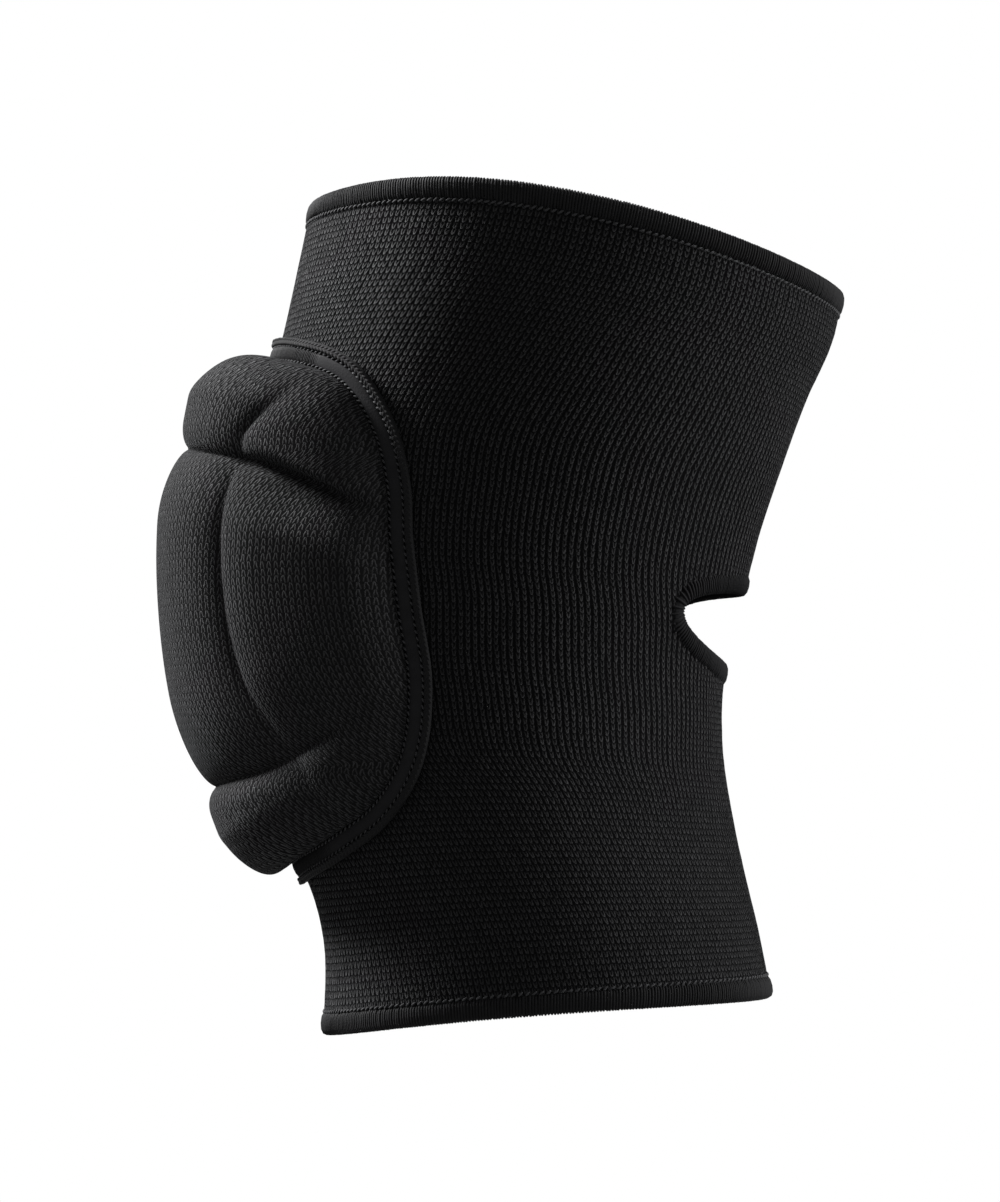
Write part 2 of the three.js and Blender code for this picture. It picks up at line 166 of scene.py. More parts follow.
class Edge:
    """A closed line on the surface, with places laid out at a distance from it."""

    def __init__(self, around, up, inwards=1):
        self.around, self.up = around, up
        here = on_surface(around, up)
        along = unit(np.roll(here, -1, axis=0) - np.roll(here, 1, axis=0))
        normal = directions(around, up)[2]
        self.along = along
        self.step = slide(around, up, np.cross(normal, along) * inwards)
        self.length = float(length(np.roll(here, -1, axis=0) - here).sum())

    def places(self, across):
        """Places at a distance inwards from the line. across has one row for each of its places."""
        return (self.around[:, None] + self.step[0][:, None] * across,
                self.up[:, None] + self.step[1][:, None] * across)

    def points(self, across, out):
        around, up = self.places(across)
        return outside(around, up, out)


# %% Meshes from arrays
def new_mesh(name, points, quads, uv=None, openness=None):
    """A mesh object from arrays of points and four-cornered faces. uv has a pair for each corner."""
    mesh = bpy.data.meshes.new(name)
    mesh.vertices.add(len(points))
    mesh.vertices.foreach_set("co", np.ascontiguousarray(points, dtype=np.float32).ravel())
    mesh.loops.add(quads.size)
    mesh.loops.foreach_set("vertex_index", np.ascontiguousarray(quads, dtype=np.int32).ravel())
    mesh.polygons.add(len(quads))
    mesh.polygons.foreach_set("loop_start", np.arange(0, quads.size, 4, dtype=np.int32))
    mesh.polygons.foreach_set("use_smooth", np.full(len(quads), True))
    if uv is not None:
        layer = mesh.uv_layers.new(name="stitches")
        layer.uv.foreach_set("vector", np.ascontiguousarray(uv, dtype=np.float32).ravel())
    if openness is not None:
        spread = mesh.attributes.new("openness", "FLOAT", "POINT")
        spread.data.foreach_set("value", np.ascontiguousarray(openness, dtype=np.float32).ravel())
    mesh.update(calc_edges=True)
    mesh.validate()
    piece = bpy.data.objects.new(name, mesh)
    bpy.context.scene.collection.objects.link(piece)
    return piece


def strip_faces(rows, columns, close_rows=False):
    """Faces of a sheet of rings: rows of points, each row a closed ring."""
    steps = rows if close_rows else rows - 1
    i, j = np.meshgrid(np.arange(steps), np.arange(columns), indexing="ij")
    up, right = (i + 1) % rows, (j + 1) % columns
    return np.stack([i * columns + j, i * columns + right, up * columns + right, up * columns + j],
                    axis=-1).reshape(-1, 4)


def dress(piece, finish, slot, *nodes):
    """Gives a piece its finish and its place among the solids."""
    piece.data.materials.append(finish)
    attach(piece, "root")
    if nodes:
        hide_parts(*nodes)
    faces = sum(len(p.vertices) - 2 for p in piece.data.polygons)
    print(f"{piece.name}: {faces} triangles")
    return piece


def accent(piece, finish, first):
    """Gives the faces from the first one on a second finish."""
    piece.data.materials.append(finish)
    index = np.zeros(len(piece.data.polygons), dtype=np.int32)
    index[first:] = 1
    piece.data.polygons.foreach_set("material_index", index)
    piece.data.update()


# %% [markdown]
# ## Shader maths written as formulas
# A knit is arithmetic on the stitch coordinates: which column, which row, and how far from the
# middle of the loop. Wiring that by hand takes dozens of nodes and is hard to read. A small
# class that wraps a socket and overloads + - * / lets the pattern be written as a formula, and
# each operator adds its Math node. Everything else comes from one method that takes the node's
# type, its settings and what goes into its sockets.

# %% A socket that does arithmetic
class Signal:
    """One output in a material's node tree, which takes + - * / and **."""

    def __init__(self, tree, socket):
        self.tree, self.socket = tree, socket

    def math(self, operation, *values):
        return node(self.tree, "ShaderNodeMath", {"operation": operation},
                    **{str(i): value for i, value in enumerate((*values,))})

    def __add__(self, other):
        return self.math("ADD", self, other)

    def __sub__(self, other):
        return self.math("SUBTRACT", self, other)

    def __rsub__(self, other):
        return self.math("SUBTRACT", other, self)

    def __mul__(self, other):
        return self.math("MULTIPLY", self, other)

    def __truediv__(self, other):
        return self.math("DIVIDE", self, other)

    def __pow__(self, other):
        return self.math("POWER", self, other)

    def __abs__(self):
        return self.math("ABSOLUTE", self)

    __radd__, __rmul__ = __add__, __mul__

    def fraction(self):
        return self.math("FRACT", self)

    def whole(self):
        return self.math("FLOOR", self)

    def above(self, low, high):
        """0 below low, 1 above high, and smooth between."""
        return node(self.tree, "ShaderNodeMapRange", {"interpolation_type": "SMOOTHSTEP"},
                    Value=self, From_Min=low, From_Max=high)


# %% One method for any other node
def node(tree, kind, settings=None, output=0, **inputs):
    """Adds a node, sets it, and feeds its sockets with numbers, colours or links."""
    made = tree.nodes.new(kind)
    for name, value in (settings or {}).items():
        setattr(made, name, value)
    for name, value in inputs.items():
        socket = made.inputs[int(name) if name.isdigit() else name.replace("_", " ")]
        if isinstance(value, Signal):
            tree.links.new(value.socket, socket)
        else:
            socket.default_value = value
    return Signal(tree, made.outputs[output]) if made.outputs else None


def new_material(name):
    material = bpy.data.materials.new(name)
    material.use_nodes = True
    material.node_tree.nodes.clear()
    return material, material.node_tree


def noise(tree, scale, detail=2.0, where=None):
    """A soft random pattern between 0 and 1, fixed to the object."""
    place = where or node(tree, "ShaderNodeTexCoord", output="Object")
    return node(tree, "ShaderNodeTexNoise", Vector=place, Scale=scale, Detail=detail)


def axis(tree, vector, which):
    """One number of a vector."""
    return node(tree, "ShaderNodeSeparateXYZ", output=which, Vector=vector)


def finish_with(tree, color, roughness, height, depth, sheen, cover=1.0):
    """Closes a material: cloth with a little sheen where it covers, and dull black elsewhere."""
    bump = node(tree, "ShaderNodeBump", Strength=1.0, Distance=depth, Height=height)
    cloth = node(tree, "ShaderNodeBsdfPrincipled", Base_Color=color, Roughness=roughness,
                 Normal=bump, Specular_IOR_Level=0.06, Sheen_Weight=sheen,
                 Sheen_Roughness=0.4, Sheen_Tint=(0.85, 0.88, 0.92, 1))
    dull = node(tree, "ShaderNodeBsdfDiffuse", Color=color)
    node(tree, "ShaderNodeOutputMaterial",
         Surface=node(tree, "ShaderNodeMixShader", Fac=cover, **{"1": dull, "2": cloth}))


def mixed(tree, share, low, high):
    """A colour between two, by a share."""
    return node(tree, "ShaderNodeMix", {"data_type": "RGBA"}, output=2,
                **{"0": share, "6": low, "7": high})


# %% [markdown]
# ## Knitted yarn
# Close up, each stitch of the sleeve is a small round loop of black yarn with a dark eye. The
# loops hang in columns with a dark furrow between two of them. Modelling some 30 000 loops is
# possible but heavy, and at this distance a stitch is only a few pixels wide. So the columns are
# real ribs in the mesh, and the loops are drawn by the shader on a map that counts stitches, with
# a painted shade in each eye and between the loops: the whole part of the map is the stitch's
# number, and the fraction is the place inside it. Yarn is never even, so the map wanders a little
# before it is read.

# %% The stitch map, with its wander
WANDERS = ((0.35, 0.16), (2.2, 0.22))  # the pattern's scale, and how many stitches it shifts


def stitch_map(tree):
    """The column and the row of the stitch, each with its fraction."""
    stitches = node(tree, "ShaderNodeUVMap", {"uv_map": "stitches"})
    column, row = axis(tree, stitches, 0), axis(tree, stitches, 1)
    for scale, shift in WANDERS:
        column = column + (noise(tree, scale, 1.0, stitches) - 0.5) * shift
    return column, row + (noise(tree, 0.9, 2.0, stitches) - 0.5) * 0.5


# %% [markdown]
# ## One loop
# A loop is two legs that spread from a bow, so the yarn's middle line is a root curve, and the
# distance from that curve says where the yarn is. The bow gets a painted highlight, and the legs
# get a painted shade that deepens as they dive behind the next loop. Where the knit is pulled
# wide, the loop opens. Every loop also draws two chance numbers, which move it and stretch it.

# %% The loop's shape
def loop_of_yarn(tree, column, row, opens_up, leg, thick, fade):
    """Painted brightness of the yarn: lit bow, shaded legs, 0 between the loops; and each loop's chance
    number.
    """
    number = node(tree, "ShaderNodeCombineXYZ", X=column.whole(), Y=row.whole())
    chance = node(tree, "ShaderNodeTexWhiteNoise", {"noise_dimensions": "2D"}, Vector=number)
    other = node(tree, "ShaderNodeTexWhiteNoise", {"noise_dimensions": "2D"}, output=1, Vector=number)
    shift, stretch = axis(tree, other, 0) - 0.5, axis(tree, other, 1)
    openness = 0.45
    if opens_up:
        openness = node(tree, "ShaderNodeAttribute", {"attribute_name": "openness"}, output=2)
    across = abs(column.fraction() - 0.5 + shift * 0.12) * 2 / (1.4 - openness * 0.4)
    along = row.fraction() if opens_up else 1 - row.fraction()
    from_yarn = abs(across - (along + 0.02) ** 0.55 * (leg + stretch * 0.08)) / thick
    # painted highlight on the bow and painted shade down the legs, toward the next loop
    bow = 1.3 - openness * 0.05 - along * (fade + 0.2 - openness * 0.2)
    return (1 - from_yarn).above(0.0, 0.8) * bow, chance


# %% [markdown]
# ## The knit's finish
# Black yarn is never one black. Some loops are brighter than others, whole rows are a shade
# lighter where the knitting machine's tension changed, and fine fibres stand up and catch the
# light, which is painted in as brighter loops and light specks. A single colour with a bump would
# look like moulded rubber, so each of these is a pattern of its own size, and they are added up
# before the two blacks are mixed: the gaps' painted shade and the lit yarn.

# %% Two knits, for the sleeve and for the pad's cover
def near_black(level, blue):
    """A black with a touch of blue, as black yarn has in daylight."""
    return (level, level, blue, 1)


def knit_material(name, opens_up, gap_painted_shade, yarn_color, depth, sheen, **shape):
    """Painted shade in the gaps, and lit loops. opens_up turns the painted highlight on each loop's bow
    down.
    """
    material, tree = new_material(name)
    column, row = stitch_map(tree)
    loop, chance = loop_of_yarn(tree, column, row, opens_up, **shape)
    patches = noise(tree, 55.0, 3.0)
    along_row = node(tree, "ShaderNodeCombineXYZ", X=column * 0.12, Y=row * 0.9)
    uneven = noise(tree, 1.0, 2.0, along_row)
    # painted highlights: the fibre pattern brightens the loops and the specks add light dots; the fibre
    # pattern also feeds the bump
    fibre_bump_and_glint = noise(tree, 1700.0, 4.0).above(0.3, 0.72)
    speck_glints = noise(tree, 2100.0, 2.0).above(0.6, 0.74)
    shade = 0.15 + chance * 0.45 + patches * 0.4 + uneven * 0.5
    lit = speck_glints * 0.55 + loop * shade * (0.35 + fibre_bump_and_glint * 1.2)
    # the gaps get the painted shade colour and a dull finish, the loops the lit yarn colour
    color = mixed(tree, lit, gap_painted_shade, yarn_color)
    finish_with(tree, color, 0.95 - lit * 0.15, loop + fibre_bump_and_glint * 0.45, depth, sheen,
                cover=loop.above(0.05, 0.4))
    return material


# each knit's first black is the painted shade of its gaps, the second its lit yarn
sleeve_knit = knit_material("sleeve knit", True, near_black(0.0016, 0.0017), near_black(0.0099, 0.0104),
                            0.56 * MM, 0.016, leg=0.42, thick=0.31, fade=1.05)
pad_knit = knit_material("pad cover knit", False, near_black(0.0033, 0.0034), near_black(0.0128, 0.0134),
                         0.3 * MM, 0.025, leg=0.46, thick=0.25, fade=0.75)
print("knit materials:", sleeve_knit.name, "and", pad_knit.name)

# %% [markdown]
# ## Overlock thread
# The hems are wound over with a loose, slightly shiny thread. It is smoother than the knit and
# catches a narrow highlight. A plain dark plastic look would be too clean, so the shade changes
# from thread to thread and along each one. The needle thread of the chain stitch is the
# lightest, and the flat tape round the pad is dull.

# %% The thread's finish
def thread_material(name, dark, light, depth, sheen, shine):
    """Twisted thread. shine is how much of it reflects, against plain dull cloth."""
    material, tree = new_material(name)
    worn = noise(tree, 260.0, 2.0)
    strands = noise(tree, 1800.0, 2.0)
    color = mixed(tree, worn * 0.6 + strands * 0.4, dark, light)
    finish_with(tree, color, 0.62 + worn * 0.25, strands, depth, sheen, cover=shine)
    return material


hem_thread = thread_material("hem thread", near_black(0.0013, 0.0014), near_black(0.0062, 0.0065),
                             0.15 * MM, 0.009, 0.6)
# a darker copy of the hem thread: painted shade for the hem round the hole
shaded_hole_thread = thread_material("shaded hole thread", near_black(0.001, 0.0011), near_black(0.0042, 0.0045),
                              0.15 * MM, 0.012, 0.45)
needle_thread = thread_material("needle thread", near_black(0.006, 0.0063), near_black(0.019, 0.02),
                                0.1 * MM, 0.04, 1.0)
tape_cloth = thread_material("seam tape", near_black(0.003, 0.0032), near_black(0.0085, 0.009),
                             0.12 * MM, 0.008, 0.3)
print("threads:", hem_thread.name, shaded_hole_thread.name, needle_thread.name, tape_cloth.name, sep=", ")

# %% [markdown]
# ## The hole behind the knee
# A wide oval is left open at the back of the knee, so that the knit doesn't bunch when the leg
# bends. The stretched cloth pulls both ends of the oval up a little, so it is bent like a shallow
# bowl. It is measured along the curved cloth, not across the air, so the line is walked in short
# steps round the leg.

# %% The hole's edge
HOLE_WIDTH, HOLE_HEIGHT, HOLE_TILT, HOLE_LEVEL = 90 * MM, 20.3 * MM, 2.4 * MM, 0.521
HOLE_HEM = 5.2 * MM
HOLE_STEPS = 24


def hole_line(count=720):
    """Places round the hole, anticlockwise as seen from behind."""
    t = np.linspace(0, TURN, count, endpoint=False)
    _, by_up, _ = directions(np.array([np.pi]), np.array([HOLE_LEVEL]))
    rise = HOLE_HEIGHT / 2 * np.sin(t) + HOLE_TILT * np.cos(t) ** 2
    across = HOLE_WIDTH / 2 * np.cos(t)
    around = np.full(count, np.pi)
    level = np.full(count, HOLE_LEVEL)
    for _ in range(HOLE_STEPS):
        around = around + across / HOLE_STEPS / length(directions(around, level)[0])
    return around, HOLE_LEVEL + rise / length(by_up)


hole_around, hole_up, hole_round = evenly(*hole_line(), 720)
print("hole is", round(hole_round * 1000), "mm round")

# %% [markdown]
# ## The columns of the knit
# The sleeve is knitted as a tube of 236 columns of stitches. They aren't straight. The calf's end
# is knitted tight, with narrow columns, and the thigh's end is wide. The bent knee then drags the
# columns forward below it and back above it, so they lean one way at the calf and the other way
# at the thigh. Two short tables hold this: how wide a column is at the side of the leg, and how
# far it drifts. Each column's angle is read from the length run round the leg at its level.

# %% Where the columns of stitches run
WALES_A_SIDE = 118
COURSES, DENSER = 118, 8
HEM_HEIGHT, HEM_THICK, HEM_PROUD = 5.6 * MM, 3.4 * MM, 0.8 * MM
DRIFT_SETS_IN = 0.08

WALE_PITCH = {
    "up": [0, 0.14, 0.25, 0.33, 0.42, 0.55, 0.65, 0.73, 0.82, 0.9, 1],
    "mm": [1.42, 1.47, 1.6, 1.88, 2.0, 2.02, 2.08, 2.16, 2.08, 1.98, 1.92],
}
WALE_DRIFT = {
    "up": [0, 0.15, 0.24, 0.3, 0.38, 0.44, 0.5, 0.57, 0.66, 0.76, 0.87, 1],
    "mm": [3, 6.5, 5.5, 0, -6, -6, -3.5, 1.5, 2, -0.5, 1, 5],
}


def wale_grid(levels):
    """The angle of each quarter wale at each level, from the back round to the front."""
    fine = np.linspace(np.pi, 0, 721)
    x = np.linspace(0, 1, 4 * WALES_A_SIDE + 1)
    angles, pitches = [], []
    for level in levels:
        steps = length(np.diff(on_surface(fine, np.full_like(fine, level)), axis=0))
        run = np.append(0, np.cumsum(steps))
        pitch = float(curve(WALE_PITCH, "up", "mm", level)) * MM
        drift = float(curve(WALE_DRIFT, "up", "mm", level)) * MM
        ease = pitch * WALES_A_SIDE / run[-1]
        places = run[-1] * (ease * x - (ease - 1) * x**4)
        places = places + drift * (1 - np.exp(-((x / DRIFT_SETS_IN) ** 2))) * (1 - x**3)
        angles.append(np.interp(places, run, fine))
        pitches.append(np.gradient(places, x) / WALES_A_SIDE)
    return np.array(angles), np.array(pitches)


LEVELS = np.linspace(0, 1, 201)
wale_angles, wale_pitches = wale_grid(LEVELS)
narrow, wide = wale_pitches.min() / MM, wale_pitches.max() / MM
print("stitches are", round(narrow, 2), "to", round(wide, 2), "mm wide")


# %% Reading a column's place at any level
def read_grid(grid, up):
    """Values of a grid of levels and columns at a level for each column."""
    at = np.clip(up, 0, 1) * (len(LEVELS) - 1)
    below = np.clip(at.astype(int), 0, len(LEVELS) - 2)
    column = np.broadcast_to(np.arange(grid.shape[1]), up.shape)
    return blend(grid[below, column], grid[below + 1, column], at - below)


def by_column(grid, up, mirror):
    """Values of a half-round grid for every column all round, at a level given for each of them."""
    half = 4 * WALES_A_SIDE
    other = np.concatenate([up[..., :1], up[..., :half:-1], up[..., half:half + 1]], axis=-1)
    near, far = read_grid(grid, up[..., : half + 1]), read_grid(grid, other)
    return np.concatenate([near, mirror * far[..., -2:0:-1]], axis=-1)


def column_angles(up):
    return by_column(wale_angles, up, -1)


# %% [markdown]
# ## Ribs that open and close
# Where the knit is pulled wide, its columns part, and dark furrows show between them. Near the
# front and near the thigh they close up again. One number says how open the knit is at a place.
# It sets the depth of the ribs in the mesh, and it is stored on the points, so the shader opens
# its loops with it too.

# %% How open the knit is, and its ribs
OPEN_FROM, OPEN_OVER = 1.45 * MM, 0.6 * MM
FRONT_CLOSES, FRONT_ANGLE = 0.85, np.radians(80)
TOP_CLOSES, TOP_FROM, TOP_OVER = 0.6, 0.7, 0.16
RIB_HEIGHT, RIB_CLOSED, RIB_OPEN = 0.34 * MM, 0.1, 0.6


def column_openness(up, around):
    """1 where the knit is pulled wide, and 0 where its columns close up."""
    wide = np.clip((by_column(wale_pitches, up, 1) - OPEN_FROM) / OPEN_OVER, 0, 1)
    to_front = np.clip(1 - np.abs(around) / FRONT_ANGLE, 0, 1)
    high = np.clip((np.broadcast_to(up, wide.shape) - TOP_FROM) / TOP_OVER, 0, 1)
    return wide * (1 - FRONT_CLOSES * to_front**0.5) * (1 - TOP_CLOSES * high)


def rib(column, openness):
    """How far the knit stands out across one column of stitches."""
    share = RIB_CLOSED + RIB_OPEN * openness
    return RIB_HEIGHT * share * (np.abs(np.sin(column * np.pi)) ** 0.8 - 0.75)


# %% [markdown]
# ## The tube and its slit
# The sleeve is a tube with a slit for the hole. Cutting it with a boolean would break up the
# ribs. Instead, each column of stitches gets four columns of points, and the rows of points part
# at the hole: below it they are squeezed under its lower edge, above it over its upper edge, and
# at its ends they meet again. The same rows run back down inside, 2 mm in, so the cloth has its
# real thickness.

# %% The levels of the rows
HALF_SLIT = 0.0015


def hole_edges(around):
    """The levels of the cut's lower and upper edge at each angle, halfway under the hem."""
    edge = Edge(hole_around, hole_up)
    cut_around, cut_up = edge.places(np.full((1, 1), -0.5 * HOLE_HEM))
    cut_around, cut_up = cut_around[:, 0], cut_up[:, 0]
    first, last = int(np.argmax(cut_around)), int(np.argmin(cut_around))
    upper = np.roll(np.arange(len(cut_up)), -first)[: (last - first) % len(cut_up) + 1]
    lower = np.roll(np.arange(len(cut_up)), -last)[: (first - last) % len(cut_up) + 1]
    around = np.mod(around, TURN)
    high = np.interp(around, cut_around[upper][::-1], cut_up[upper][::-1])
    low = np.interp(around, cut_around[lower], cut_up[lower])
    end_level = (cut_up[first] + cut_up[last]) / 2
    inside = (around > cut_around[last]) & (around < cut_around[first])
    below, above = end_level - HALF_SLIT, end_level + HALF_SLIT
    low = np.where(inside, np.minimum(low, below), below)
    high = np.where(inside, np.maximum(high, above), above)
    return low, high, inside


def sleeve_rows(low_edge, high_edge, below, above):
    """Levels of the rows of points: some under the hole's lower edge, the rest over its upper."""
    bottom, top = 0.5 * HEM_HEIGHT / BACK_HEIGHT, 1 - 0.5 * HEM_HEIGHT / BACK_HEIGHT
    under = bottom + (low_edge - bottom) * np.linspace(0, 1, below)[:, None]
    over = high_edge + (top - high_edge) * np.linspace(0, 1, above)[:, None]
    return np.concatenate([under, over])


# %% The tube's faces
OUTER_BELOW, OUTER_ABOVE, INNER_BELOW, INNER_ABOVE = 33, 31, 11, 11


def tube_faces(rows, columns, in_hole):
    """Faces of the tube without those over the hole, and with the cut closed all round."""
    quads = strip_faces(rows, columns, close_rows=True)
    strip, cell = quads[:, 0] // columns, quads[:, 0] % columns
    open_cell = in_hole[cell] & in_hole[(cell + 1) % columns]
    outer_slit, inner_slit = OUTER_BELOW - 1, OUTER_BELOW + OUTER_ABOVE + INNER_ABOVE - 1
    kept = quads[~(open_cell & np.isin(strip, (outer_slit, inner_slit)))]
    cells = np.flatnonzero(in_hole & np.roll(in_hole, -1))
    right = (cells + 1) % columns
    out_low, out_high, in_high, in_low = (k * columns for k in (
        outer_slit, outer_slit + 1, inner_slit, inner_slit + 1))
    lips = [np.stack([out_low + cells, out_low + right, in_low + right, in_low + cells], -1),
            np.stack([out_high + cells, in_high + cells, in_high + right, out_high + right], -1)]
    run = np.flatnonzero(in_hole)
    first = run[np.flatnonzero(~in_hole[run - 1])[0]]
    last = run[np.flatnonzero(~in_hole[(run + 1) % columns])[0]]
    caps = [[out_low + first, in_low + first, in_high + first, out_high + first],
            [out_high + last, in_high + last, in_low + last, out_low + last]]
    return np.concatenate([kept, *lips, np.array(caps)])


def stitch_numbers(quads, columns, level):
    """The column and row of stitches at each corner of each face."""
    corner_row, corner_column = quads // columns, quads % columns
    u = corner_column / 4
    wraps = (u < 4) & (u.max(axis=1, keepdims=True) > columns / 4 - 4)
    up = level[corner_row, corner_column]
    return np.stack([np.where(wraps, u + columns / 4, u), COURSES * up + DENSER * up**3], -1)


# %% The sleeve's mesh
def make_sleeve():
    columns = 8 * WALES_A_SIDE
    around = column_angles(np.full(columns, HOLE_LEVEL))
    low, high, in_hole = hole_edges(around)
    outer = sleeve_rows(low, high, OUTER_BELOW, OUTER_ABOVE)
    inner = sleeve_rows(low, high, INNER_BELOW, INNER_ABOVE)[::-1]
    soft = np.random.default_rng(4).normal(0, 0.03 * MM, outer.shape)
    outer_around, inner_around = column_angles(outer), column_angles(inner)
    openness = column_openness(outer, outer_around)
    skin = outside(outer_around, outer, rib(np.arange(columns)[None] / 4, openness) + soft)
    rings = np.concatenate([skin, outside(inner_around, inner, -WALL)])
    quads = tube_faces(len(rings), columns, in_hole)
    stitches = stitch_numbers(quads, columns, np.concatenate([outer, inner]))
    return new_mesh("knit_sleeve", rings.reshape(-1, 3), quads[:, ::-1], stitches[:, ::-1],
                    np.concatenate([openness, column_openness(inner, inner_around)]))


sleeve = dress(make_sleeve(), sleeve_knit, "sleeve_knit", "sleeve")

# %% [markdown]
# ## The foam pad's outline
# The pad is an egg that is fuller below. It is drawn by how far it reaches from its middle at
# each turn, against a plain oval. The outer edge of its seam is the line itself, and the foam
# starts further in, past the rolled edge and the flat band.

# %% Sizes of the pad
PAD_HALF_HEIGHT = 75 * MM
PAD_HALF_WRAP = np.radians(79.5)
PAD_LEVEL = 0.511
PAD_THICKNESS = 25 * MM
PAD_LIP = 2.3 * MM
PAD_OVERHANG, OVERHANG_REACH = 7 * MM, 12 * MM
BAND_WIDTH, BAND_THICK, CORD = 3.9 * MM, 1.7 * MM, 2.3 * MM

OUTLINE = {
    "turn": [0, 0.04, 0.11, 0.2, 0.28, 0.36, 0.43, 0.51, 0.6, 0.67, 0.72, 0.77, 0.83, 0.91, 0.97, 1],
    "reach": [1, 1.002, 1.027, 1.069, 1.042, 0.99, 0.95, 0.967, 1.05, 1.112, 1.135, 1.128, 1.083,
              1.032, 1.018, 1.016],
}


def pad_line(count=1440):
    """Places on the outside of the pad's seam, from its top."""
    share = np.linspace(0, 1, count, endpoint=False)
    reach = curve(OUTLINE, "turn", "reach", 1 - np.abs(1 - 2 * share))
    around = -PAD_HALF_WRAP * reach * np.sin(share * TURN)
    return around, PAD_LEVEL + PAD_HALF_HEIGHT * reach * np.cos(share * TURN) / FRONT_HEIGHT


PAD_COLUMNS = 400
pad_around, pad_up, pad_round = evenly(*pad_line(), PAD_COLUMNS)
pad_edge = Edge(pad_around, pad_up)
print("pad's seam is", round(pad_round * 1000), "mm long")

# %% [markdown]
# ## The lobes
# Nine cushions of foam lie under one cover: a tall one in the middle, one above and one below
# it, and three down each side. The cover is pulled down into the grooves between them. The
# foam's height is a formula of the place: a floor for the grooves, a crown for each lobe, and a
# round shoulder that joins them. The grooves between the columns are shallower than those
# between the rows and run out at the top, and under the upper side lobe lies a soft hollow. At
# the top and bottom the foam bulges out over its own seam.

# %% Tables of the lobes
CROWNS = {
    "level": [-1, -0.55, -0.2, 0.3, 0.62, 1],
    "upper": [0.7, 0.7, 0.8, 0.84, 0.86, 0.86],
    "middle": [0.8, 0.8, 0.885, 0.99, 0.99, 0.96],
    "lower": [0.66, 0.7, 0.7, 0.7, 0.7, 0.7],
}
COLUMN_GROOVES = {
    "level": [-1, -0.68, -0.46, -0.25, 0.15, 0.57, 0.7, 0.83, 1],
    "wrap": [0.7, 0.6, 0.52, 0.442, 0.39, 0.41, 0.5, 0.57, 0.64],
}
ROW_GROOVES = {
    "wrap": [0, 0.38, 0.52, 0.65, 0.79, 1],
    "upper": [0.56, 0.51, 0.475, 0.42, 0.345, 0.29],
    "lower": [-0.61, -0.595, -0.57, -0.515, -0.44, -0.38],
}
THINNING = {
    "wrap": [0, 0.3, 0.4, 0.6, 0.8, 0.92, 1.2],
    "crown": [1, 0.93, 0.87, 0.64, 0.42, 0.3, 0.2],
    "upper_floor": [0.75, 0.62, 0.5, 0.33, 0.25, 0.22, 0.2],
    "lower_floor": [0.53, 0.43, 0.37, 0.29, 0.28, 0.24, 0.18],
}
COLUMN_DEPTH = 0.58
CENTRE_SHOULDER, SIDE_SHOULDER, MIDDLE_TOP, MIDDLE_BOTTOM = 18 * MM, 12 * MM, 20 * MM, 24 * MM
UPPER_ROW, UPPER_ROW_SIDE, LOWER_ROW = 7 * MM, 2.5 * MM, 6 * MM
FADE_FROM, FADE_TO = 0.56, 0.88
FLOOR_FROM, FLOOR_TO = -0.65, 0.6
HOLLOW, HOLLOW_FROM, HOLLOW_TO = 18 * MM, 0.4, 0.6
TOP_EDGE, SIDE_EDGE, BOTTOM_EDGE = 22 * MM, 11 * MM, 20 * MM
CREASE = 0.35 * MM


# %% The foam's height
def smooth(share):
    """A share from 0 to 1 that starts and ends gently."""
    share = np.clip(share, 0, 1)
    return share * share * (3 - 2 * share)


def round_rise(distance, reach):
    """A rounded rise from 0 to 1, with the last bit of the crease softened."""
    distance = np.sqrt(distance**2 + CREASE**2) - CREASE
    short = 1 - np.clip(distance / reach, 0, 1)
    return (1 - short**2) ** 0.6


